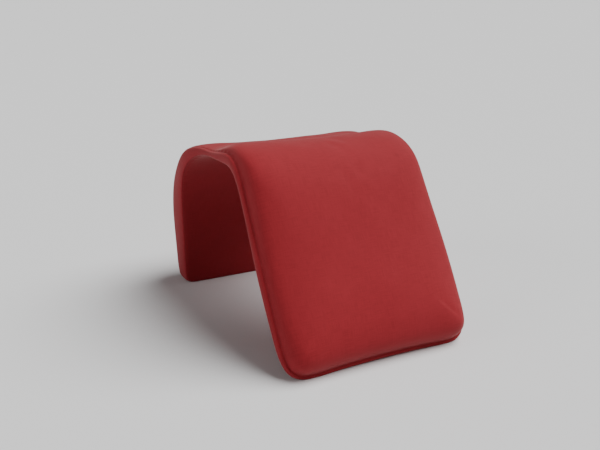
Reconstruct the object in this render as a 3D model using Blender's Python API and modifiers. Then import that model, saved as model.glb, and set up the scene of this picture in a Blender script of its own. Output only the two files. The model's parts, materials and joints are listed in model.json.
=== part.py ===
"""A sofa headrest cushion: one filled pad, bent like a saddle to hook over a sofa's backrest.

Metres, +Z up. X runs across the cushion, its front is towards -Y, and it stands on its two hems
at Z = 0, centred on the origin. The pad is laid out flat first, the way it is sewn: a flat inner
panel, a rolled edge band all round it, and a crowned outer panel whose seam lies a little way in
from the edge. The flat pad is then bent over the line that its inner panel follows.
"""

import math

import bmesh
import bpy

NAME = "sofa_headrest_cushion"

# The inner panel's line, from the front hem over the crest to the back hem. Its height is over the
# back hem, and the leaning front hem reaches a little lower, so that both stand
INNER_HEIGHT = 0.378
FRONT_DROP = 0.0045
FRONT_LEAN = math.radians(32)
FRONT_BEND_RADIUS = 0.122
CREST_FLAT = 0.082
BACK_BEND_RADIUS = 0.188

# The sewn edge
EDGE_ROLL = 0.018
SEAM_INSET = 0.008
SEAM_DEPTH = 0.004
FRONT_CORNER = 0.052
BACK_CORNER = 0.025
HEM_DRAWN_IN = 0.006

# How much of each hem is pressed flat where it stands, and the block that presses it
FOOT_PRESS = 0.005
CUTTER_SIZE = 2.0

# The section at each place along the inner line: the band's height, the crown above the band,
# how far in from the seam the crown's shoulder reaches, and half of the width
SECTIONS = (
    ("front_hem", 0.038, 0.034, 0.080, 0.225),
    ("front_bend", 0.026, 0.038, 0.034, 0.221),
    ("crest_front", 0.020, 0.020, 0.022, 0.220),
    ("crest_back", 0.008, 0.003, 0.030, 0.221),
    ("back_bend", 0.042, 0.001, 0.040, 0.225),
    ("back_panel", 0.078, 0.012, 0.050, 0.227),
    ("back_hem", 0.068, 0.014, 0.050, 0.227),
)

# The coarse cage: its rows between those places, its columns between the corners
ROWS_BETWEEN = (5, 4, 2, 3, 3, 4)
COLUMNS_BETWEEN = 4
TIGHTEST_CORNER = 0.35
SMOOTHING_LEVELS = 1

RED = (0.30, 0.028, 0.030, 1.0)


def clear_scene():
    for old in list(bpy.data.objects):
        bpy.data.objects.remove(old)


def red_fabric():
    material = bpy.data.materials.new("red_fabric")
    material.use_nodes = True
    shader = material.node_tree.nodes["Principled BSDF"]
    shader.inputs["Base Color"].default_value = RED
    shader.inputs["Roughness"].default_value = 0.85
    shader.inputs["Metallic"].default_value = 0.0
    return material


def stretches():
    """The inner line's stretches as (length, turn), from the front hem to the back hem."""
    front_turn = math.pi / 2 - FRONT_LEAN
    rise = FRONT_BEND_RADIUS * (1 - math.sin(FRONT_LEAN))
    half_turn = math.pi / 4
    return (
        ((INNER_HEIGHT + FRONT_DROP - rise) / math.cos(FRONT_LEAN), 0.0),
        (FRONT_BEND_RADIUS * front_turn, front_turn),
        (CREST_FLAT, 0.0),
        (BACK_BEND_RADIUS * half_turn, half_turn),
        (BACK_BEND_RADIUS * half_turn, half_turn),
        (INNER_HEIGHT - BACK_BEND_RADIUS, 0.0),
    )


def places():
    """How far along the inner line each section of the table lies."""
    found = [0.0]
    for length, _turn in stretches():
        found.append(found[-1] + length)
    return found


def inner_line(along):
    """The inner line's point (y, z) and its heading there, carried on straight past both hems."""
    heading = math.pi / 2 - FRONT_LEAN
    y = -FRONT_DROP * math.tan(FRONT_LEAN)
    z = -FRONT_DROP
    left = along
    last = len(stretches()) - 1
    for index, (length, turn) in enumerate(stretches()):
        step = left if index == last else min(left, length)
        if turn:
            radius = length / turn
            swept = step / radius
            y += radius * (math.sin(heading) - math.sin(heading - swept))
            z += radius * (math.cos(heading - swept) - math.cos(heading))
            heading -= swept
        else:
            y += step * math.cos(heading)
            z += step * math.sin(heading)
        left -= step
        if left <= 0:
            break
    return y, z, heading


def bent(x, along, height):
    """A point of the flat pad, bent over the inner line."""
    y, z, heading = inner_line(along)
    return x, y - height * math.sin(heading), z + height * math.cos(heading)


def section(along):
    """(band, crown, shoulder, half width) here, eased between the rows of the table."""
    marks = places()
    for before in range(len(marks) - 1):
        if along <= marks[before + 1] or before == len(marks) - 2:
            break
    share = (along - marks[before]) / (marks[before + 1] - marks[before])
    share = min(max(share, 0.0), 1.0)
    share = share * share * (3 - 2 * share)
    here = SECTIONS[before][1:]
    there = SECTIONS[before + 1][1:]
    return [a + (b - a) * share for a, b in zip(here, there)]


def row_places():
    """The cage's rows, as places along the inner line, with one at each rounded corner."""
    marks = places()
    rows = []
    for before, spans in enumerate(ROWS_BETWEEN):
        length = marks[before + 1] - marks[before]
        rows += [marks[before] + length * step / spans for step in range(spans)]
    rows.append(marks[-1])
    rows[1] = FRONT_CORNER
    rows[-2] = marks[-1] - BACK_CORNER
    return rows


def column_shares():
    """The cage's columns, as shares of the half width."""
    corner = FRONT_CORNER / SECTIONS[0][4]
    inner = 1 - corner
    middle = [inner * (2 * step / COLUMNS_BETWEEN - 1) for step in range(COLUMNS_BETWEEN + 1)]
    return [-1.0] + middle + [1.0]


def flat_place(column, row, inset):
    """Where a cage point lies on the flat pad, drawn in from the edge, with round corners."""
    rows = row_places()
    columns = column_shares()
    total = rows[-1]
    along = inset + (total - 2 * inset) * rows[row] / total
    half = section(along)[3] - inset
    x = half * columns[column]
    near_front = row <= 1
    near_back = row >= len(rows) - 2
    side = math.copysign(1.0, columns[column])
    at_corner = column in (0, 1, len(columns) - 2, len(columns) - 1) and (near_front or near_back)
    inside = column in (1, len(columns) - 2) and row in (1, len(rows) - 2)
    if not at_corner or inside:
        if row == 0:
            along += HEM_DRAWN_IN * (1 - columns[column] ** 2)
        return x, along
    corner = FRONT_CORNER if near_front else BACK_CORNER
    radius = max(corner - inset, TIGHTEST_CORNER * corner)
    if row in (0, len(rows) - 1):
        angle = math.pi / 4 if column in (0, len(columns) - 1) else math.pi / 2
    else:
        angle = 0.0
    x = side * (half - radius + radius * math.cos(angle))
    inwards = inset + radius - radius * math.sin(angle)
    return x, inwards if near_front else total - inwards


# The loops round the edge, from the inner panel to the outer one: how far in each lies, as a
# length and as a share of the shoulder, its share of the band, its share of the crown, and what
# it is raised by
EDGE_LOOPS = (
    (EDGE_ROLL, 0.0, 0.0, 0.0, 0.0),
    (0.0, 0.0, 0.0, 0.0, 0.0),
    (0.0, 0.0, 1.0, 0.0, 0.0),
    (SEAM_INSET, 0.0, 1.0, 0.0, -SEAM_DEPTH),
    (SEAM_INSET, 0.04, 1.0, 0.30, 0.0),
    (SEAM_INSET, 0.24, 1.0, 0.78, 0.0),
    (SEAM_INSET, 1.00, 1.0, 0.96, 0.0),
)


def rim(columns, rows):
    """The (column, row) pairs round a sheet's edge, in order."""
    bottom = [(column, 0) for column in range(columns)]
    right = [(columns - 1, row) for row in range(1, rows)]
    top = [(column, rows - 1) for column in range(columns - 2, -1, -1)]
    left = [(0, row) for row in range(rows - 2, 0, -1)]
    return bottom + right + top + left


def cage_point(column, row, loop):
    """A point of the cage on one of the edge loops, or inside the sheet that the loop bounds."""
    length, shoulder_share, band_share, crown_share, lift = loop
    shoulder = section(row_places()[row])[2]
    x, along = flat_place(column, row, length + shoulder_share * shoulder)
    band, crown = section(along)[:2]
    return bent(x, along, band * band_share + crown * crown_share + lift)


def build_cage():
    """The pad's coarse cage, all in quads: two sheets joined by the edge loops."""
    columns = len(column_shares())
    rows = len(row_places())
    edge = rim(columns, rows)
    full_crown = EDGE_LOOPS[-1][:3] + (1.0, 0.0)
    cage = bmesh.new()

    def sheet(loop, inside):
        grid = {}
        for column in range(columns):
            for row in range(rows):
                kind = loop if (column, row) in edge else inside
                grid[column, row] = cage.verts.new(cage_point(column, row, kind))
        return grid

    inner = sheet(EDGE_LOOPS[0], EDGE_LOOPS[0])
    outer = sheet(EDGE_LOOPS[-1], full_crown)
    rings = [[inner[place] for place in edge]]
    for loop in EDGE_LOOPS[1:-1]:
        rings.append([cage.verts.new(cage_point(*place, loop)) for place in edge])
    rings.append([outer[place] for place in edge])
    for column in range(columns - 1):
        for row in range(rows - 1):
            corners = ((column, row), (column + 1, row), (column + 1, row + 1), (column, row + 1))
            cage.faces.new([outer[place] for place in corners])
            cage.faces.new([inner[place] for place in reversed(corners)])
    for below, above in zip(rings, rings[1:]):
        for step in range(len(below)):
            after = (step + 1) % len(below)
            cage.faces.new((below[step], below[after], above[after], above[step]))
    bmesh.ops.recalc_face_normals(cage, faces=cage.faces)
    mesh = bpy.data.meshes.new("cushion")
    cage.to_mesh(mesh)
    cage.free()
    return mesh


def floor_cutter():
    """A block whose top is the surface that the cushion stands on."""
    block = bmesh.new()
    bmesh.ops.create_cube(block, size=CUTTER_SIZE)
    bmesh.ops.translate(block, verts=block.verts, vec=(0.0, 0.0, -CUTTER_SIZE / 2))
    mesh = bpy.data.meshes.new("floor_cutter")
    block.to_mesh(mesh)
    block.free()
    cutter = bpy.data.objects.new("floor_cutter", mesh)
    cutter.hide_render = True
    cutter.display_type = "WIRE"
    return cutter


def main():
    clear_scene()
    parts = bpy.data.collections.new(NAME)
    cutters = bpy.data.collections.new("cutters")
    bpy.context.scene.collection.children.link(parts)
    bpy.context.scene.collection.children.link(cutters)
    cutter = floor_cutter()
    cutters.objects.link(cutter)

    mesh = build_cage()
    mesh.shade_smooth()
    mesh.materials.append(red_fabric())
    cushion = bpy.data.objects.new("cushion", mesh)
    parts.objects.link(cushion)
    smooth = cushion.modifiers.new("smooth", "SUBSURF")
    smooth.levels = SMOOTHING_LEVELS
    smooth.render_levels = SMOOTHING_LEVELS
    feet = cushion.modifiers.new("feet", "BOOLEAN")
    feet.operation = "DIFFERENCE"
    feet.object = cutter

    bpy.context.view_layer.update()
    graph = bpy.context.evaluated_depsgraph_get()
    corners = [corner[1] for corner in cushion.evaluated_get(graph).bound_box]
    cushion.location = (0.0, -(min(corners) + max(corners)) / 2, -FOOT_PRESS)


main()
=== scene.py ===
"""The finished look of a sofa headrest cushion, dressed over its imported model.

The cushion is one soft pad in a plain red woven cover, bent like a saddle over the line that its
inner panel follows. It is laid out flat first, the way it is sewn: an inner panel, a boxed edge
band, and a crowned outer panel whose seam lies a little way in from the edge. The flat pad is bent
over the line, filled out by a short cloth simulation, and sewn round with lock stitches.
Lengths are in metres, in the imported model's own frame, except where a name ends in mm.
"""

import json
import logging
import math
from dataclasses import astuple, dataclass
from enum import Enum

import bmesh
import bpy
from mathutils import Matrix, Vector, noise


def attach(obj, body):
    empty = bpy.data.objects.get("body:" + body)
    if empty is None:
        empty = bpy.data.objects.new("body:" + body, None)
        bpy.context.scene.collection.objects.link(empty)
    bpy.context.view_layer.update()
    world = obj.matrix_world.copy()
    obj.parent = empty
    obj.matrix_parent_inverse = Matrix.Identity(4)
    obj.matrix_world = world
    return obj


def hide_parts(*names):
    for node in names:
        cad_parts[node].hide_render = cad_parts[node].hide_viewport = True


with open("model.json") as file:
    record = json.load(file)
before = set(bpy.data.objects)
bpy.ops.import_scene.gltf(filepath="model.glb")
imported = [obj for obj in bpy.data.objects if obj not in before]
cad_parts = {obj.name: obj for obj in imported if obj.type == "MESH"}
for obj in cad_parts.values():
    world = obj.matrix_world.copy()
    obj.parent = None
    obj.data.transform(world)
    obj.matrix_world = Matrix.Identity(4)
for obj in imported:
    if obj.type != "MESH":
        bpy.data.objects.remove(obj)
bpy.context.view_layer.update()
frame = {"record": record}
BODY = "root"
MM_PER_METRE = 1000.0

log = logging.getLogger("headrest_cushion")


class Seam(Enum):
    """The two seams that join the panels to the edge band."""

    INNER = "inner_seam"
    OUTER = "outer_seam"


def linear(colour: str) -> tuple[float, float, float, float]:
    """Turns an sRGB hex colour into the linear colour that a shader takes.

    Args:
        colour: Six hex digits, such as "8c2b2c".

    Returns:
        Red, green, blue and an alpha of 1.
    """
    values = [int(colour[place:place + 2], 16) / 255 for place in (0, 2, 4)]
    red, green, blue = (
        value / 12.92 if value <= 0.04045 else ((value + 0.055) / 1.055) ** 2.4 for value in values
    )
    return (red, green, blue, 1.0)


def add_node(
    tree: bpy.types.NodeTree, kind: str, settings: dict | None = None, **links: bpy.types.NodeSocket
) -> bpy.types.Node:
    """Adds a node to a tree, sets it and links it.

    Args:
        tree: The node tree that gets the node.
        kind: The node's type name.
        settings: The node's own properties by name, and its inputs' values by name or index.
        **links: Output sockets by the input's name, with _ in place of a blank, or by i and the
            input's index.

    Returns:
        The new node.
    """
    node = tree.nodes.new(kind)
    for name, value in (settings or {}).items():
        if isinstance(name, str) and hasattr(node, name):
            setattr(node, name, value)
        else:
            node.inputs[name].default_value = value
    for name, socket in links.items():
        place = int(name[1:]) if name[0] == "i" and name[1:].isdigit() else name.replace("_", " ")
        tree.links.new(socket, node.inputs[place])
    return node


def read(mesh: bpy.types.Mesh, name: str) -> list[float]:
    """Returns one of a mesh's point attributes as a list of numbers."""
    return [item.value for item in mesh.attributes[name].data]


def stand(mesh: bpy.types.Mesh) -> None:
    """Presses flat what reaches below the surface that the cushion stands on."""
    for vertex in mesh.vertices:
        vertex.co.z = max(vertex.co.z, 0.0)


def refined(mesh: bpy.types.Mesh, levels: int) -> bpy.types.Mesh:
    """Smooths a mesh by subdivision.

    Args:
        mesh: The mesh to smooth, which stays as it is.
        levels: How many times each face is split.

    Returns:
        The finer mesh, with the same attributes and uv maps.
    """
    carrier = bpy.data.objects.new("refining", mesh)
    bpy.context.scene.collection.objects.link(carrier)
    smooth = carrier.modifiers.new("smooth", "SUBSURF")
    smooth.levels = levels
    smooth.render_levels = levels
    smooth.uv_smooth = "PRESERVE_BOUNDARIES"
    graph = bpy.context.evaluated_depsgraph_get()
    fine = bpy.data.meshes.new_from_object(
        carrier.evaluated_get(graph), preserve_all_data_layers=True, depsgraph=graph
    )
    bpy.data.objects.remove(carrier)
    return fine


@dataclass(frozen=True)
class SaddleLine:
    """The line that the inner panel follows, from the front hem over the crest to the back hem.

    Its y is zero where the front panel is as low as the back hem, and its z is zero at the surface
    that the cushion stands on. Both hems start below that surface.

    Attributes:
        inner_height: How high the crest's underside lies above the back hem.
        front_drop: How far the front hem reaches below the back one.
        front_lean: How far the front panel leans from upright.
        front_bend_radius: The radius of the bend from the front panel to the crest.
        crest_flat: The length of the flat crest between the two bends.
        back_bend_radius: The radius of the bend from the crest to the back panel.
        foot_press: How much of the back hem is pressed flat where it stands.
    """

    inner_height: float = 0.378
    front_drop: float = 0.0045
    front_lean: float = math.radians(32.2)
    front_bend_radius: float = 0.099
    crest_flat: float = 0.104
    back_bend_radius: float = 0.182
    foot_press: float = 0.005

    def stretches(self) -> tuple[tuple[float, float], ...]:
        """Returns the line's stretches as (length, turn), from the front hem to the back hem."""
        front_turn = math.pi / 2 - self.front_lean
        rise = self.front_bend_radius * (1 - math.sin(self.front_lean))
        half_turn = math.pi / 4
        return (
            ((self.inner_height + self.front_drop - rise) / math.cos(self.front_lean), 0.0),
            (self.front_bend_radius * front_turn, front_turn),
            (self.crest_flat, 0.0),
            (self.back_bend_radius * half_turn, half_turn),
            (self.back_bend_radius * half_turn, half_turn),
            (self.inner_height - self.back_bend_radius, 0.0),
        )

    def place(self, mark: float) -> float:
        """Turns a mark into a length along the line.

        Args:
            mark: The stretch's number, and how far along that stretch, such as 2.5.

        Returns:
            The length from the front hem.
        """
        lengths = [length for length, _turn in self.stretches()]
        whole = min(int(mark), len(lengths) - 1)
        return sum(lengths[:whole]) + lengths[whole] * (mark - whole)

    def at(self, along: float) -> tuple[float, float, float]:
        """Finds the line's point and heading, carried on straight past both hems.

        Args:
            along: The length from the front hem.

        Returns:
            The point's y and z, and the heading in radians above +Y.
        """
        heading = math.pi / 2 - self.front_lean
        y = -self.front_drop * math.tan(self.front_lean)
        z = -self.front_drop
        left = along
        last = len(self.stretches()) - 1
        for index, (length, turn) in enumerate(self.stretches()):
            step = left if index == last else min(left, length)
            if turn:
                radius = length / turn
                swept = step / radius
                y += radius * (math.sin(heading) - math.sin(heading - swept))
                z += radius * (math.cos(heading - swept) - math.cos(heading))
                heading -= swept
            else:
                y += step * math.cos(heading)
                z += step * math.sin(heading)
            left -= step
            if left <= 0:
                break
        return y, z - self.foot_press, heading


@dataclass(frozen=True)
class Section:
    """The pad's section at one place of the line.

    Attributes:
        band: The edge band's height.
        crown: How far the outer panel rises above the band.
        shoulder: How far in from the seam the crown is still rising.
        half: Half of the pad's width.
        sag: How far the outer panel's middle hangs below its domed height.
    """

    band: float
    crown: float
    shoulder: float
    half: float
    sag: float

    def towards(self, there: "Section", share: float) -> "Section":
        """Returns the section that lies a share of the way from this one to another."""
        pairs = zip(astuple(self), astuple(there))
        return Section(*(here + (other - here) * share for here, other in pairs))


@dataclass(frozen=True)
class EdgeLoop:
    """One line round the pad's edge, from the inner panel to the outer one.

    Attributes:
        inset: How far in from the edge it lies.
        shoulder: How far in it lies further, as a share of the crown's shoulder.
        band: Its height, as a share of the band.
        crown: Its height above the band, as a share of the crown.
        lift: What it is raised by.
        held: How firmly it is held against the filling's pressure, from 0 to 1.
        seam: The seam that runs along it, if one does.
    """

    inset: float
    shoulder: float
    band: float
    crown: float
    lift: float
    held: float
    seam: Seam | None = None


@dataclass(frozen=True)
class WovenFabric:
    """Plain-woven polyester upholstery, piece-dyed red and brushed.

    The brushed face is matte, with a short pale bloom where it is seen along the surface, and its
    threads show only as a fine grain.
    """

    name: str = "brushed_plain_weave_polyester"
    colour: str = "8f1f27"
    shaded_thread: str = "841a21"
    worn_thread: str = "95262e"
    most_worn: float = 0.15
    bloom: str = "f0c4c0"
    thread_spacing_mm: float = 1.1
    slub_length_mm: float = 24.0
    slub_relief: float = 0.6
    mottle_mm: float = 60.0
    relief_mm: float = 0.10
    relief_strength: float = 0.5
    roughness: float = 0.82
    ior: float = 1.45
    specular: float = 0.25
    sheen: float = 0.35
    sheen_roughness: float = 0.35

    def build(self) -> bpy.types.Material:
        """Returns the cover's material, whose threads follow the uv map named weave."""
        material = bpy.data.materials.new(self.name)
        material.use_nodes = True
        tree = material.node_tree
        shader = tree.nodes["Principled BSDF"]
        flat = add_node(tree, "ShaderNodeUVMap", {"uv_map": "weave"}).outputs["UV"]
        per_thread = MM_PER_METRE / self.thread_spacing_mm
        threads = add_node(
            tree, "ShaderNodeVectorMath", {"operation": "SCALE", "Scale": per_thread}, Vector=flat
        ).outputs["Vector"]
        slub = self.slubs(tree, threads)
        relief = add_node(
            tree, "ShaderNodeMath", {"operation": "MULTIPLY_ADD", 1: self.slub_relief},
            i0=self.thread_height(tree, threads), i2=slub,
        ).outputs[0]
        bump = add_node(tree, "ShaderNodeBump", {
            "Strength": self.relief_strength, "Distance": self.relief_mm / MM_PER_METRE,
        }, Height=relief).outputs["Normal"]
        tree.links.new(self.dye(tree, slub), shader.inputs["Base Color"])
        tree.links.new(bump, shader.inputs["Normal"])
        shader.inputs["Roughness"].default_value = self.roughness
        shader.inputs["IOR"].default_value = self.ior
        shader.inputs["Specular IOR Level"].default_value = self.specular
        shader.inputs["Sheen Weight"].default_value = self.sheen
        shader.inputs["Sheen Roughness"].default_value = self.sheen_roughness
        shader.inputs["Sheen Tint"].default_value = linear(self.bloom)
        return material

    def thread_height(
        self, tree: bpy.types.NodeTree, threads: bpy.types.NodeSocket
    ) -> bpy.types.NodeSocket:
        """Returns how high the weave stands, as half sine waves where warp and weft cross.

        Args:
            tree: The material's nodes.
            threads: The place on the cloth, counted in threads.

        Returns:
            The height's socket, from 0 between the threads to 1 on top of one.
        """
        split = add_node(tree, "ShaderNodeSeparateXYZ", {}, Vector=threads)
        waves = []
        for axis in ("X", "Y"):
            angle = add_node(
                tree, "ShaderNodeMath", {"operation": "MULTIPLY", 1: math.pi}, i0=split.outputs[axis]
            ).outputs[0]
            waves.append(add_node(tree, "ShaderNodeMath", {"operation": "SINE"}, i0=angle).outputs[0])
        crossing = add_node(
            tree, "ShaderNodeMath", {"operation": "MULTIPLY"}, i0=waves[0], i1=waves[1]
        ).outputs[0]
        return add_node(tree, "ShaderNodeMath", {"operation": "ABSOLUTE"}, i0=crossing).outputs[0]

    def slubs(
        self, tree: bpy.types.NodeTree, threads: bpy.types.NodeSocket
    ) -> bpy.types.NodeSocket:
        """Returns the thick places along single threads, each way of the cloth.

        Args:
            tree: The material's nodes.
            threads: The place on the cloth, counted in threads.

        Returns:
            The thickness's socket, around 1.
        """
        lengthwise = self.thread_spacing_mm / self.slub_length_mm
        each_way = []
        for scale in ((1.0, lengthwise, 1.0), (lengthwise, 1.0, 1.0)):
            stretched = add_node(
                tree, "ShaderNodeMapping", {"Scale": scale}, Vector=threads
            ).outputs["Vector"]
            each_way.append(add_node(
                tree, "ShaderNodeTexNoise", {"Scale": 0.9, "Detail": 1.0}, Vector=stretched
            ).outputs["Fac"])
        return add_node(
            tree, "ShaderNodeMath", {"operation": "ADD"}, i0=each_way[0], i1=each_way[1]
        ).outputs[0]

    def dye(self, tree: bpy.types.NodeTree, slub: bpy.types.NodeSocket) -> bpy.types.NodeSocket:
        """Returns the cloth's colour: darker on thin threads, and faintly lighter where it is worn.

        Args:
            tree: The material's nodes.
            slub: How thick the threads are.

        Returns:
            The colour's socket.
        """
        thick = add_node(
            tree, "ShaderNodeMapRange", {"From Min": 0.75, "From Max": 1.25}, Value=slub
        ).outputs["Result"]
        threads = add_node(tree, "ShaderNodeMix", {
            "data_type": "RGBA", 6: linear(self.shaded_thread), 7: linear(self.colour),
        }, i0=thick).outputs[2]
        place = add_node(tree, "ShaderNodeTexCoord").outputs["Object"]
        mottle = add_node(
            tree, "ShaderNodeTexNoise", {"Scale": MM_PER_METRE / self.mottle_mm, "Detail": 3.0},
            Vector=place,
        ).outputs["Fac"]
        worn = add_node(
            tree, "ShaderNodeMapRange",
            {"From Min": 0.45, "From Max": 0.75, "To Max": self.most_worn}, Value=mottle,
        ).outputs["Result"]
        return add_node(
            tree, "ShaderNodeMix", {"data_type": "RGBA", 7: linear(self.worn_thread)},
            i0=worn, i6=threads,
        ).outputs[2]


@dataclass(frozen=True)
class SewingThread:
    """Spun polyester thread, dyed to match the cover and a touch smoother than it.

    Its relief is a soft slanting wave, far broader than the real thread's twist.
    """

    name: str = "spun_polyester_thread"
    colour: str = "7c1f22"
    roughness: float = 0.6
    wave_mm: float = 2 * math.pi
    relief_mm: float = 0.1
    relief_strength: float = 0.4

    def build(self) -> bpy.types.Material:
        """Returns the thread's material, with slanting waves in its relief."""
        material = bpy.data.materials.new(self.name)
        material.use_nodes = True
        tree = material.node_tree
        shader = tree.nodes["Principled BSDF"]
        place = add_node(tree, "ShaderNodeTexCoord").outputs["Object"]
        # At a scale of 1 this texture's wave is a fifth of pi in metres long on each axis
        scale = MM_PER_METRE * math.pi / (5 * self.wave_mm)
        wave = add_node(tree, "ShaderNodeTexWave", {
            "bands_direction": "DIAGONAL", "Scale": scale, "Distortion": 1.0,
        }, Vector=place).outputs["Fac"]
        bump = add_node(tree, "ShaderNodeBump", {
            "Strength": self.relief_strength, "Distance": self.relief_mm / MM_PER_METRE,
        }, Height=wave).outputs["Normal"]
        tree.links.new(bump, shader.inputs["Normal"])
        shader.inputs["Base Color"].default_value = linear(self.colour)
        shader.inputs["Roughness"].default_value = self.roughness
        return material


@dataclass(frozen=True)
class PaintedFloor:
    """A studio floor in flat white emulsion, which shows no grain and a soft shadow."""

    name: str = "matte_white_emulsion"
    colour: str = "dadada"
    roughness: float = 0.9
    specular: float = 0.1

    def build(self) -> bpy.types.Material:
        """Returns the floor's material."""
        material = bpy.data.materials.new(self.name)
        material.use_nodes = True
        shader = material.node_tree.nodes["Principled BSDF"]
        shader.inputs["Base Color"].default_value = linear(self.colour)
        shader.inputs["Roughness"].default_value = self.roughness
        shader.inputs["Specular IOR Level"].default_value = self.specular
        return material


@dataclass(frozen=True)
class Filling:
    """How the filling presses the cover out, and how far the seams and the cloth allow it.

    Attributes:
        pressure: The filling's pressure on the cover.
        frames: How many steps the cloth has to settle.
        quality: How finely each step is worked out.
        vertex_mass: The mass that each vertex of the cover carries.
        stretch_stiffness: How much the cloth resists being stretched or pushed together.
        bend_stiffness: How much it resists bending.
        most_movement: The distance that the cover's movement nears and never reaches.
        held_share: The share of its movement that a seam stops.
    """

    pressure: float = 4.0
    frames: int = 20
    quality: int = 5
    vertex_mass: float = 0.3
    stretch_stiffness: float = 25.0
    bend_stiffness: float = 2.0
    most_movement: float = 0.006
    held_share: float = 0.97

    def swell(self, pad: bpy.types.Object, held: list[float]) -> None:
        """Runs the cloth simulation on the pad and keeps what it allows of its movement.

        Args:
            pad: The pad, in place. Its mesh is moved.
            held: How firmly each vertex is held, from 0 to 1.
        """
        mesh = pad.data
        start = [vertex.co.copy() for vertex in mesh.vertices]
        moved = self.settled(pad, held)
        furthest = 0.0
        for vertex, before, after, weight in zip(mesh.vertices, start, moved, held):
            movement = (after - before) * (1 - weight * self.held_share)
            allowed = self.most_movement / (self.most_movement + movement.length)
            vertex.co = before + movement * allowed
            furthest = max(furthest, movement.length * allowed)
        log.info("filling moved the cover by up to %.1f mm", furthest * MM_PER_METRE)

    def settled(self, pad: bpy.types.Object, held: list[float]) -> list[Vector]:
        """Returns where the simulation leaves each vertex, and takes the simulation off again.

        Args:
            pad: The pad, in place.
            held: How firmly each vertex is held, from 0 to 1.

        Returns:
            The vertices' places after the last frame.
        """
        group = pad.vertex_groups.new(name="held")
        for index, weight in enumerate(held):
            group.add([index], weight, "REPLACE")
        cloth = pad.modifiers.new("filling", "CLOTH")
        cloth.settings.quality = self.quality
        cloth.settings.mass = self.vertex_mass
        cloth.settings.tension_stiffness = self.stretch_stiffness
        cloth.settings.compression_stiffness = self.stretch_stiffness
        cloth.settings.bending_stiffness = self.bend_stiffness
        cloth.settings.use_pressure = True
        cloth.settings.uniform_pressure_force = self.pressure
        cloth.settings.vertex_group_mass = group.name
        cloth.settings.effector_weights.gravity = 0.0
        cloth.collision_settings.use_collision = False
        cloth.point_cache.frame_start = 1
        cloth.point_cache.frame_end = self.frames
        scene = bpy.context.scene
        for step in range(1, self.frames + 1):
            scene.frame_set(step)
        graph = bpy.context.evaluated_depsgraph_get()
        moved = [vertex.co.copy() for vertex in pad.evaluated_get(graph).data.vertices]
        pad.modifiers.remove(cloth)
        pad.vertex_groups.remove(group)
        scene.frame_set(1)
        return moved


@dataclass(frozen=True)
class Puckers:
    """The small puckers that a seam's thread draws into the cover on both sides of it.

    Attributes:
        depth: How far they rise above the cover and sink below it, where their strength is 1.
        pitch: How far apart they lie.
        reach: How far from the seam they reach, counted in edge loops.
        wander: How much their pitch wanders, in radians of a wave.
        wander_rate: How often it wanders, per metre of seam.
        steady: The part of their strength that is the same all round.
        uneven: The part that varies along the seam.
        uneven_rate: How often it varies, per metre of seam.
    """

    depth: float = 0.0005
    pitch: float = 0.019
    reach: float = 1.6
    wander: float = 5.0
    wander_rate: float = 14.0
    steady: float = 0.6
    uneven: float = 0.8
    uneven_rate: float = 6.0

    def rise(self, loops_away: float, run: float, seam_place: int) -> float:
        """Returns how far the cover rises at one vertex.

        Args:
            loops_away: How many edge loops lie between it and the seam.
            run: How far along the seam it lies.
            seam_place: The seam's own edge loop, which sets its random pattern.
        """
        near = 1 - loops_away / self.reach
        if near <= 0:
            return 0.0
        wander = noise.noise(Vector((run * self.wander_rate, seam_place, 0.0)))
        wave = math.sin(2 * math.pi * run / self.pitch + self.wander * wander)
        pattern = noise.noise(Vector((run * self.uneven_rate, 3.0, seam_place)))
        strength = self.steady + self.uneven * pattern
        # Nothing moves on the seam or at the puckers' reach, and most halfway between them
        hump = near * (1 - near) * 4
        return self.depth * hump * wave * strength


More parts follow.
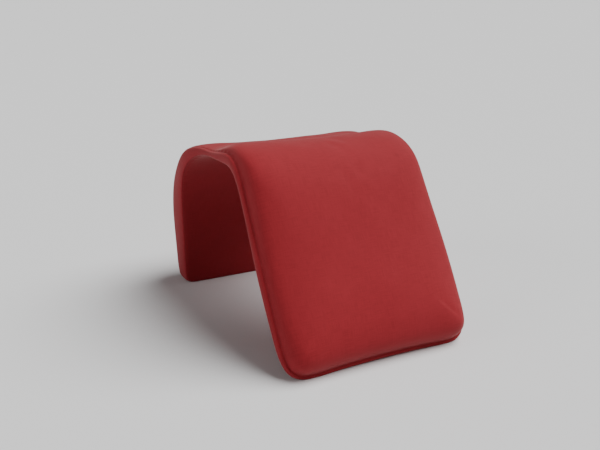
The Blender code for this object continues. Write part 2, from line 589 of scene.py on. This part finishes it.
@dataclass(frozen=True)
class Cushion:
    """The pad in its cover: its sizes, its mesh and its seams.

    Attributes:
        line: The line that the inner panel follows.
        stations: The pad's section at marks of the line, as SaddleLine.place takes them.
        edge: The loops round the edge, from the inner panel to the outer one.
        rows_between: The cage's rows along each stretch of the line.
        columns_between: The cage's columns between the corners.
        front_corner: The radius of the corners of the front hem.
        back_corner: The radius of the corners of the back hem.
        tightest_corner: The least share of its radius that a loop's corner keeps.
        hem_drawn_in: How far the front hem is drawn in between its corners.
        dome: How far the outer panel's middle rises, as a share of the crown.
        swells: The filling's unevenness, as (how often per metre, its share).
        unevenness: How far a swell with a share of 1 rises or falls at most.
        even_loops: Over how many edge loops the unevenness fades out towards the outer seam.
        first_splits: How many times the cage is split before it is filled out.
        last_splits: How many times it is split afterwards.
        same_loop: How far a vertex's rank may be off and still count as on a loop.
        thread_lift: How far the stitches lie above the cover.
    """

    line: SaddleLine = SaddleLine()
    # Each section gives its band, crown, shoulder, half width and sag
    stations: tuple[tuple[float, Section], ...] = (
        (0.0, Section(0.016, 0.057, 0.088, 0.2255, 0.004)),
        (0.5, Section(0.024, 0.040, 0.068, 0.2285, 0.000)),
        (1.0, Section(0.018, 0.048, 0.040, 0.2225, 0.004)),
        (2.0, Section(0.026, 0.020, 0.026, 0.2180, 0.009)),
        (3.0, Section(0.013, 0.005, 0.034, 0.2180, 0.012)),
        (4.0, Section(0.040, 0.003, 0.046, 0.2340, 0.005)),
        (5.0, Section(0.081, 0.022, 0.044, 0.2270, -0.002)),
        (6.0, Section(0.065, 0.018, 0.048, 0.2250, -0.005)),
    )
    # Each loop gives its inset, its shares of the shoulder, band and crown, its lift and its hold
    edge: tuple[EdgeLoop, ...] = (
        EdgeLoop(0.0260, 0.00, 0.00, 0.00, 0.0000, 0.80),
        EdgeLoop(0.0100, 0.00, 0.00, 0.00, 0.0000, 0.90),
        EdgeLoop(0.0060, 0.00, 0.00, 0.00, 0.0030, 1.00, Seam.INNER),
        EdgeLoop(0.0020, 0.00, 0.04, 0.00, 0.0000, 0.95),
        EdgeLoop(-0.001, 0.00, 0.30, 0.00, 0.0000, 0.85),
        EdgeLoop(-0.001, 0.00, 0.66, 0.00, 0.0000, 0.85),
        EdgeLoop(0.0006, 0.00, 0.92, 0.00, 0.0000, 0.95),
        EdgeLoop(0.0044, 0.00, 0.99, 0.00, 0.0000, 0.98),
        EdgeLoop(0.0078, 0.00, 1.00, 0.00, -0.0010, 1.00, Seam.OUTER),
        EdgeLoop(0.0100, 0.00, 1.00, 0.19, 0.0000, 0.80),
        EdgeLoop(0.0090, 0.08, 1.00, 0.49, 0.0000, 0.40),
        EdgeLoop(0.0090, 0.32, 1.00, 0.82, 0.0000, 0.15),
        EdgeLoop(0.0090, 1.00, 1.00, 0.975, 0.0000, 0.00),
    )
    rows_between: tuple[int, ...] = (7, 5, 3, 4, 4, 5)
    columns_between: int = 6
    front_corner: float = 0.048
    back_corner: float = 0.022
    tightest_corner: float = 0.35
    hem_drawn_in: float = 0.008
    dome: float = 0.10
    swells: tuple[tuple[float, float], ...] = ((9.0, 1.0), (21.0, 0.5))
    unevenness: float = 0.0012
    even_loops: int = 3
    first_splits: int = 2
    last_splits: int = 1
    same_loop: float = 1e-4
    thread_lift: float = 0.0002
    puckers: Puckers = Puckers()
    filling: Filling = Filling()

    def build(self) -> bpy.types.Object:
        """Returns the finished pad, as one closed mesh."""
        mesh = refined(Cage(self).build(), self.first_splits)
        self.roll_unevenly(mesh)
        pad = bpy.data.objects.new("cushion_cover", mesh)
        bpy.context.scene.collection.objects.link(pad)
        held = [self.hold(place) for place in read(mesh, "rank")]
        self.filling.swell(pad, held)
        stand(mesh)
        pad.data = refined(mesh, self.last_splits)
        self.pucker(pad.data)
        stand(pad.data)
        pad.data.name = "cushion_cover"
        pad.data.shade_smooth()
        return pad

    def shift(self) -> float:
        """Returns how far along Y the line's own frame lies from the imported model's frame."""
        for mount in frame["record"]["mounts"]:
            if mount["name"] == "back_inner_face":
                return mount["pos_m"][1] - self.line.at(self.total())[0]
        raise ValueError("the record has no mount named back_inner_face")

    def total(self) -> float:
        """Returns the line's whole length."""
        return self.line.place(float(len(self.line.stretches())))

    def section(self, along: float) -> Section:
        """Eases the pad's section between its stations.

        Args:
            along: The length from the front hem.

        Returns:
            The section there.
        """
        marks = [self.line.place(mark) for mark, _section in self.stations]
        last = len(marks) - 2
        for before in range(last + 1):
            if along <= marks[before + 1] or before == last:
                break
        share = (along - marks[before]) / (marks[before + 1] - marks[before])
        share = min(max(share, 0.0), 1.0)
        share = share * share * (3 - 2 * share)
        return self.stations[before][1].towards(self.stations[before + 1][1], share)

    def row_places(self) -> list[float]:
        """Returns the cage's rows as lengths along the line, with one at each rounded corner."""
        rows = []
        for stretch, spans in enumerate(self.rows_between):
            rows += [self.line.place(stretch + step / spans) for step in range(spans)]
        rows.append(self.total())
        rows[1] = self.front_corner
        rows[-2] = rows[-1] - self.back_corner
        return rows

    def column_shares(self) -> list[float]:
        """Returns the cage's columns as shares of the half width."""
        inner = 1 - self.front_corner / self.stations[0][1].half
        spans = self.columns_between
        middle = [inner * (2 * step / spans - 1) for step in range(spans + 1)]
        return [-1.0] + middle + [1.0]

    def flat_place(self, column: int, row: int, inset: float) -> tuple[float, float]:
        """Finds where a cage point lies on the flat pad, with round corners.

        Args:
            column: The point's column.
            row: The point's row.
            inset: How far in from the edge the point's loop lies.

        Returns:
            The place across the pad and along the line.
        """
        rows = self.row_places()
        columns = self.column_shares()
        total = rows[-1]
        along = inset + (total - 2 * inset) * rows[row] / total
        half = self.section(along).half - inset
        x = half * columns[column]
        near_front = row <= 1
        near_back = row >= len(rows) - 2
        side = math.copysign(1.0, columns[column])
        near_side = column in (0, 1, len(columns) - 2, len(columns) - 1)
        inside = column in (1, len(columns) - 2) and row in (1, len(rows) - 2)
        if not (near_side and (near_front or near_back)) or inside:
            if row == 0:
                along += self.hem_drawn_in * (1 - columns[column] ** 2)
            return x, along
        corner = self.front_corner if near_front else self.back_corner
        radius = max(corner - inset, self.tightest_corner * corner)
        if row in (0, len(rows) - 1):
            angle = math.pi / 4 if column in (0, len(columns) - 1) else math.pi / 2
        else:
            angle = 0.0
        x = side * (half - radius + radius * math.cos(angle))
        inwards = inset + radius - radius * math.sin(angle)
        return x, inwards if near_front else total - inwards

    def seam_ranks(self) -> dict[Seam, int]:
        """Returns which of the edge's loops each seam is."""
        return {loop.seam: place for place, loop in enumerate(self.edge) if loop.seam}

    def hold(self, place: float) -> float:
        """Returns how firmly a vertex is held, from its place between the edge's loops."""
        below = min(int(place), len(self.edge) - 2)
        share = place - below
        return self.edge[below].held * (1 - share) + self.edge[below + 1].held * share

    def roll_unevenly(self, mesh: bpy.types.Mesh) -> None:
        """Gives the filling its slight rise and fall under the outer panel."""
        last = len(self.edge) - 1
        normals = [vertex.normal.copy() for vertex in mesh.vertices]
        for vertex, place, normal in zip(mesh.vertices, read(mesh, "rank"), normals):
            free = min(max((place - last + self.even_loops) / self.even_loops, 0.0), 1.0)
            swell = sum(part * noise.noise(vertex.co * rate) for rate, part in self.swells)
            vertex.co += normal * swell * self.unevenness * free

    def pucker(self, mesh: bpy.types.Mesh) -> None:
        """Draws the cover into small puckers beside both seams."""
        rank = read(mesh, "rank")
        across = read(mesh, "across")
        along = read(mesh, "along")
        total = self.total()
        normals = [vertex.normal.copy() for vertex in mesh.vertices]
        for place in self.seam_ranks().values():
            for index, vertex in enumerate(mesh.vertices):
                hem = min(along[index], total - along[index]) < self.back_corner
                run = across[index] if hem else along[index]
                vertex.co += normals[index] * self.puckers.rise(abs(rank[index] - place), run, place)

    def seam_path(self, mesh: bpy.types.Mesh, seam: Seam) -> list[Vector]:
        """Follows a seam round the finished pad.

        Args:
            mesh: The finished pad's mesh.
            seam: Which of the seams.

        Returns:
            The seam's points in order, a little above the cover.
        """
        place = self.seam_ranks()[seam]
        rank = read(mesh, "rank")
        on_seam = {index for index, value in enumerate(rank) if abs(value - place) < self.same_loop}
        beside: dict[int, list[int]] = {index: [] for index in on_seam}
        for edge in mesh.edges:
            first, second = edge.vertices
            if first in on_seam and second in on_seam:
                beside[first].append(second)
                beside[second].append(first)
        start = min(on_seam)
        path = [start]
        before = None
        while True:
            here = path[-1]
            onwards = [index for index in beside[here] if index != before]
            before = here
            if not onwards or onwards[0] == start:
                break
            path.append(onwards[0])
        vertices = [mesh.vertices[index] for index in path]
        return [vertex.co + vertex.normal * self.thread_lift for vertex in vertices]


class Cage:
    """The pad's coarse cage, while its points and faces are being made.

    Every point keeps its place on the flat pad, as across and along, and the number of its edge
    loop, as rank. The faces keep their place on the flat cloth, as the uv map weave.
    """

    def __init__(self, cushion: Cushion) -> None:
        """Starts an empty cage.

        Args:
            cushion: The cushion whose sizes it takes.
        """
        self.cushion = cushion
        self.columns = cushion.column_shares()
        self.rows = cushion.row_places()
        self.shift = cushion.shift()
        self.last = len(cushion.edge) - 1
        self.work = bmesh.new()
        self.across = self.work.verts.layers.float.new("across")
        self.along = self.work.verts.layers.float.new("along")
        self.rank = self.work.verts.layers.float.new("rank")
        self.weave = self.work.loops.layers.uv.new("weave")

    def build(self) -> bpy.types.Mesh:
        """Returns the whole cage as a mesh, all in quads."""
        rim = self.rim()
        inner, outer = [self.sheet(place, set(rim)) for place in (0, self.last)]
        rings = [[inner[spot] for spot in rim]]
        rings += [[self.point(*spot, place, False) for spot in rim] for place in range(1, self.last)]
        rings.append([outer[spot] for spot in rim])
        for column in range(len(self.columns) - 1):
            for row in range(len(self.rows) - 1):
                spots = ((column, row), (column + 1, row), (column + 1, row + 1), (column, row + 1))
                self.panel_face([outer[spot] for spot in spots], 1.0)
                self.panel_face([inner[spot] for spot in reversed(spots)], -1.0)
        self.join(rings)
        mesh = bpy.data.meshes.new("cushion_cage")
        self.work.to_mesh(mesh)
        self.work.free()
        return mesh

    def rim(self) -> list[tuple[int, int]]:
        """Returns the (column, row) pairs round the pad's edge, in order."""
        columns = len(self.columns)
        rows = len(self.rows)
        front = [(column, 0) for column in range(columns)]
        right = [(columns - 1, row) for row in range(1, rows)]
        back = [(column, rows - 1) for column in range(columns - 2, -1, -1)]
        left = [(0, row) for row in range(rows - 2, 0, -1)]
        return front + right + back + left

    def point(self, column: int, row: int, place: int, clear: bool) -> bmesh.types.BMVert:
        """Adds a point.

        Args:
            column: Its column.
            row: Its row.
            place: The number of its edge loop, or of the loop that bounds its panel.
            clear: Whether it lies inside a panel, clear of the panel's edge.

        Returns:
            The new point.
        """
        cushion = self.cushion
        loop = cushion.edge[place]
        shoulder = cushion.section(self.rows[row]).shoulder
        x, along = cushion.flat_place(column, row, loop.inset + loop.shoulder * shoulder)
        here = cushion.section(along)
        height = here.band * loop.band + here.crown * loop.crown + loop.lift
        if clear and place == self.last:
            bow = 1 - self.columns[column] ** 2
            height += here.crown * (1 - loop.crown + cushion.dome * bow) - here.sag * bow
        y, z, heading = cushion.line.at(along)
        vertex = self.work.verts.new((
            x, y - height * math.sin(heading) + self.shift, z + height * math.cos(heading)
        ))
        vertex[self.across] = x
        vertex[self.along] = along
        vertex[self.rank] = place
        return vertex

    def sheet(
        self, place: int, rim: set[tuple[int, int]]
    ) -> dict[tuple[int, int], bmesh.types.BMVert]:
        """Adds the points of a panel.

        Args:
            place: The number of the edge loop that bounds it.
            rim: The (column, row) pairs on its edge.

        Returns:
            The points by column and row.
        """
        return {
            (column, row): self.point(column, row, place, (column, row) not in rim)
            for column in range(len(self.columns)) for row in range(len(self.rows))
        }

    def join(self, rings: list[list[bmesh.types.BMVert]]) -> None:
        """Adds the faces round the edge, between each loop and the next one."""
        seams = self.cushion.seam_ranks()
        middle = rings[(seams[Seam.INNER] + seams[Seam.OUTER]) // 2]
        around = [0.0]
        for here, there in zip(middle, middle[1:] + middle[:1]):
            around.append(around[-1] + (there.co - here.co).length)
        for place, (below, above) in enumerate(zip(rings, rings[1:])):
            on_band = seams[Seam.INNER] <= place < seams[Seam.OUTER]
            for step in range(len(below)):
                after = (step + 1) % len(below)
                corners = (below[step], below[after], above[after], above[step])
                if on_band:
                    self.band_face(corners, place, around[step], around[step + 1])
                else:
                    self.panel_face(corners, -1.0 if place < seams[Seam.INNER] else 1.0)

    def panel_face(self, corners: tuple | list, side: float) -> None:
        """Adds a face of a panel, which lies on the cloth as it does on the flat pad.

        Args:
            corners: The face's points, in order.
            side: 1 on the outer panel, and -1 on the inner one, which is seen from below.
        """
        for corner in self.work.faces.new(corners).loops:
            corner[self.weave].uv = (side * corner.vert[self.across], corner.vert[self.along])

    def band_face(self, corners: tuple, place: int, start: float, end: float) -> None:
        """Adds a face of the edge band, which is a straight strip of cloth.

        Args:
            corners: The face's points, in order from the lower loop to the upper one.
            place: The number of the lower loop.
            start: How far round the strip the face starts.
            end: How far round the strip it ends.
        """
        edge = self.cushion.edge
        band = self.cushion.section(corners[0][self.along]).band
        low = edge[place].band * band
        high = edge[place + 1].band * band
        cloth = ((start, low), (end, low), (end, high), (start, high))
        for corner, flat in zip(self.work.faces.new(corners).loops, cloth):
            corner[self.weave].uv = flat


@dataclass(frozen=True)
class Stitching:
    """The lock stitches that close a seam, at the bottom of its crease.

    Attributes:
        pitch: How far apart the stitches lie.
        stitch_length: How long each one shows.
        thread_radius: Half of the thread's thickness.
        tilt: How far a stitch leans from the seam at most, in radians.
        seed: What the leaning is drawn from.
        sides: How many sides a stitch has round the thread.
        rings: How many rings it has along the thread.
    """

    pitch: float = 0.0036
    stitch_length: float = 0.0028
    thread_radius: float = 0.00028
    tilt: float = 0.12
    seed: int = 7
    sides: int = 6
    rings: int = 4

    def tree(self) -> bpy.types.NodeTree:
        """Returns the geometry nodes that lay stitches along a curve."""
        tree = bpy.data.node_groups.new("lock_stitches", "GeometryNodeTree")
        for name, kind in (
            ("Seam", "NodeSocketGeometry"), ("Pitch", "NodeSocketFloat"),
            ("Stitch Length", "NodeSocketFloat"), ("Thread Radius", "NodeSocketFloat"),
            ("Tilt", "NodeSocketFloat"), ("Seed", "NodeSocketInt"), ("Thread", "NodeSocketMaterial"),
        ):
            tree.interface.new_socket(name, in_out="INPUT", socket_type=kind)
        tree.interface.new_socket("Stitches", in_out="OUTPUT", socket_type="NodeSocketGeometry")
        given = add_node(tree, "NodeGroupInput").outputs
        along = add_node(
            tree, "GeometryNodeResampleCurve", {"mode": "LENGTH"},
            Curve=given["Seam"], Length=given["Pitch"],
        ).outputs["Curve"]
        stitch = add_node(
            tree, "GeometryNodeMeshUVSphere",
            {"Segments": self.sides, "Rings": self.rings, "Radius": 1.0},
        ).outputs["Mesh"]
        half_length = add_node(
            tree, "ShaderNodeMath", {"operation": "MULTIPLY", 1: 0.5}, i0=given["Stitch Length"]
        ).outputs[0]
        radius = given["Thread Radius"]
        size = add_node(
            tree, "ShaderNodeCombineXYZ", {}, X=radius, Y=radius, Z=half_length
        ).outputs["Vector"]
        laid = add_node(
            tree, "GeometryNodeInstanceOnPoints", {},
            Points=along, Instance=stitch, Rotation=self.leaning(tree, given), Scale=size,
        ).outputs["Instances"]
        real = add_node(tree, "GeometryNodeRealizeInstances", {}, Geometry=laid).outputs["Geometry"]
        dressed = add_node(
            tree, "GeometryNodeSetMaterial", {}, Geometry=real, Material=given["Thread"]
        ).outputs["Geometry"]
        add_node(tree, "NodeGroupOutput", {}, Stitches=dressed)
        return tree

    def leaning(
        self, tree: bpy.types.NodeTree, given: bpy.types.bpy_prop_collection
    ) -> bpy.types.NodeSocket:
        """Returns how each stitch is turned: along the seam, and a little to either side.

        Args:
            tree: The stitches' nodes.
            given: The tree's own inputs.

        Returns:
            The rotation's socket.
        """
        tangent = add_node(tree, "GeometryNodeInputTangent").outputs["Tangent"]
        turned = add_node(
            tree, "FunctionNodeAlignRotationToVector", {"axis": "Z"}, Vector=tangent
        ).outputs["Rotation"]
        least = add_node(
            tree, "ShaderNodeMath", {"operation": "MULTIPLY", 1: -1.0}, i0=given["Tilt"]
        ).outputs[0]
        drawn = add_node(
            tree, "FunctionNodeRandomValue", {"data_type": "FLOAT"},
            Seed=given["Seed"], i2=least, i3=given["Tilt"],
        ).outputs[1]
        lean = add_node(tree, "ShaderNodeCombineXYZ", {}, X=drawn).outputs["Vector"]
        return add_node(
            tree, "FunctionNodeRotateRotation", {"rotation_space": "LOCAL"},
            Rotation=turned, Rotate_By=lean,
        ).outputs["Rotation"]

    def build(self, name: str, path: list[Vector], thread: bpy.types.Material) -> bpy.types.Object:
        """Sews one seam.

        Args:
            name: The piece's name.
            path: The seam's points, in order round the pad.
            thread: The thread's material.

        Returns:
            The stitches as one plain mesh.
        """
        curve = bpy.data.curves.new(name, "CURVE")
        curve.dimensions = "3D"
        spline = curve.splines.new("POLY")
        spline.points.add(len(path) - 1)
        for point, place in zip(spline.points, path):
            point.co = (*place, 1.0)
        spline.use_cyclic_u = True
        guide = bpy.data.objects.new(name + "_guide", curve)
        bpy.context.scene.collection.objects.link(guide)
        tree = self.tree()
        modifier = guide.modifiers.new("stitches", "NODES")
        modifier.node_group = tree
        given = {
            "Pitch": self.pitch, "Stitch Length": self.stitch_length,
            "Thread Radius": self.thread_radius, "Tilt": self.tilt, "Seed": self.seed, "Thread": thread,
        }
        for socket in tree.interface.items_tree:
            if socket.in_out == "INPUT" and socket.name in given:
                modifier[socket.identifier] = given[socket.name]
        graph = bpy.context.evaluated_depsgraph_get()
        mesh = bpy.data.meshes.new_from_object(guide.evaluated_get(graph), depsgraph=graph)
        bpy.data.objects.remove(guide)
        mesh.shade_smooth()
        if not mesh.materials:
            mesh.materials.append(thread)
        piece = bpy.data.objects.new(name, mesh)
        bpy.context.scene.collection.objects.link(piece)
        return piece


@dataclass(frozen=True)
class BroadLight:
    """A broad, even light, as from a large softbox a long way off.

    Attributes:
        name: What it is called.
        strength: How strong it is.
        spread: How wide it is, as an angle seen from the cushion.
        place: The direction from the cushion to it.
    """

    name: str
    strength: float
    spread: float
    place: tuple[float, float, float]

    def hang(self) -> None:
        """Hangs the light over the cushion."""
        light = bpy.data.lights.new(self.name, "SUN")
        light.energy = self.strength
        light.angle = self.spread
        lamp = bpy.data.objects.new(self.name, light)
        lamp.rotation_euler = (-Vector(self.place)).to_track_quat("-Z", "Y").to_euler()
        bpy.context.scene.collection.objects.link(lamp)


@dataclass(frozen=True)
class Studio:
    """The plain pale floor and the soft light round the cushion.

    Attributes:
        floor_size: The floor's whole width, so great that its far edge lies above the photo's view.
        near_floor: Half the width of its middle tile, which is small so that shadows stay exact.
        surround: The colour of the white walls round the studio.
        surround_strength: How much light they give.
        lights: The lights.
    """

    floor_size: float = 4000.0
    near_floor: float = 10.0
    surround: str = "ffffff"
    surround_strength: float = 0.15
    lights: tuple[BroadLight, ...] = (
        BroadLight("key_light", 4.8, math.radians(50), (0.50, -0.18, 0.85)),
        BroadLight("fill_light", 0.9, math.radians(40), (-1.00, 0.05, 0.30)),
    )

    def build(self) -> None:
        """Lays the floor and lights the studio."""
        self.lay_floor()
        world = bpy.data.worlds.new("white_surround")
        world.use_nodes = True
        surround = world.node_tree.nodes["Background"]
        surround.inputs["Color"].default_value = linear(self.surround)
        surround.inputs["Strength"].default_value = self.surround_strength
        bpy.context.scene.world = world
        for light in self.lights:
            light.hang()

    def lay_floor(self) -> None:
        """Lays the floor as nine tiles, a small one under the cushion and eight round it."""
        half = self.floor_size / 2
        lines = (-half, -self.near_floor, self.near_floor, half)
        count = len(lines)
        corners = [(x, y, 0.0) for y in lines for x in lines]
        firsts = [row * count + column for row in range(count - 1) for column in range(count - 1)]
        tiles = [(first, first + 1, first + count + 1, first + count) for first in firsts]
        mesh = bpy.data.meshes.new("studio_floor")
        mesh.from_pydata(corners, [], tiles)
        mesh.materials.append(PaintedFloor().build())
        floor = bpy.data.objects.new("studio_floor", mesh)
        bpy.context.scene.collection.objects.link(floor)


@dataclass(frozen=True)
class PhotoCamera:
    """The photograph's own viewpoint: in front, to the left and a little above.

    Attributes:
        place: Where the camera stands.
        heading: How far it is turned from straight along +Y towards +X.
        dip: How far it looks down from level.
        focal_pixels: Its focal length, counted in the picture's pixels.
        picture_width_pixels: The picture's width.
        sensor_width_mm: The width of the sensor behind its lens.
    """

    place: tuple[float, float, float] = (-0.778, -1.446, 0.713)
    heading: float = math.radians(27.55)
    dip: float = math.radians(17.3)
    focal_pixels: float = 724.75
    picture_width_pixels: int = 600
    sensor_width_mm: float = 36.0

    def build(self) -> None:
        """Places the camera and makes it the scene's own."""
        data = bpy.data.cameras.new("photo_camera")
        data.sensor_width = self.sensor_width_mm
        data.lens = self.focal_pixels * self.sensor_width_mm / self.picture_width_pixels
        camera = bpy.data.objects.new("photo_camera", data)
        camera.location = self.place
        camera.rotation_euler = (math.pi / 2 - self.dip, 0.0, -self.heading)
        bpy.context.scene.collection.objects.link(camera)
        bpy.context.scene.camera = camera


def main() -> None:
    """Builds the cushion, sews it, and sets up the studio round it."""
    logging.basicConfig(level=logging.INFO, format="%(name)s: %(message)s")
    cushion = Cushion()
    cover = cushion.build()
    cover.data.materials.clear()
    cover.data.materials.append(WovenFabric().build())
    thread = SewingThread().build()
    pieces = [cover]
    for seam in Seam:
        path = cushion.seam_path(cover.data, seam)
        pieces.append(Stitching().build(seam.value + "_stitches", path, thread))
    for piece in pieces:
        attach(piece, BODY)
        log.info("%s: %d faces", piece.name, len(piece.data.polygons))
    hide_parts("cushion")
    Studio().build()
    PhotoCamera().build()


if __name__ == "__main__":
    main()
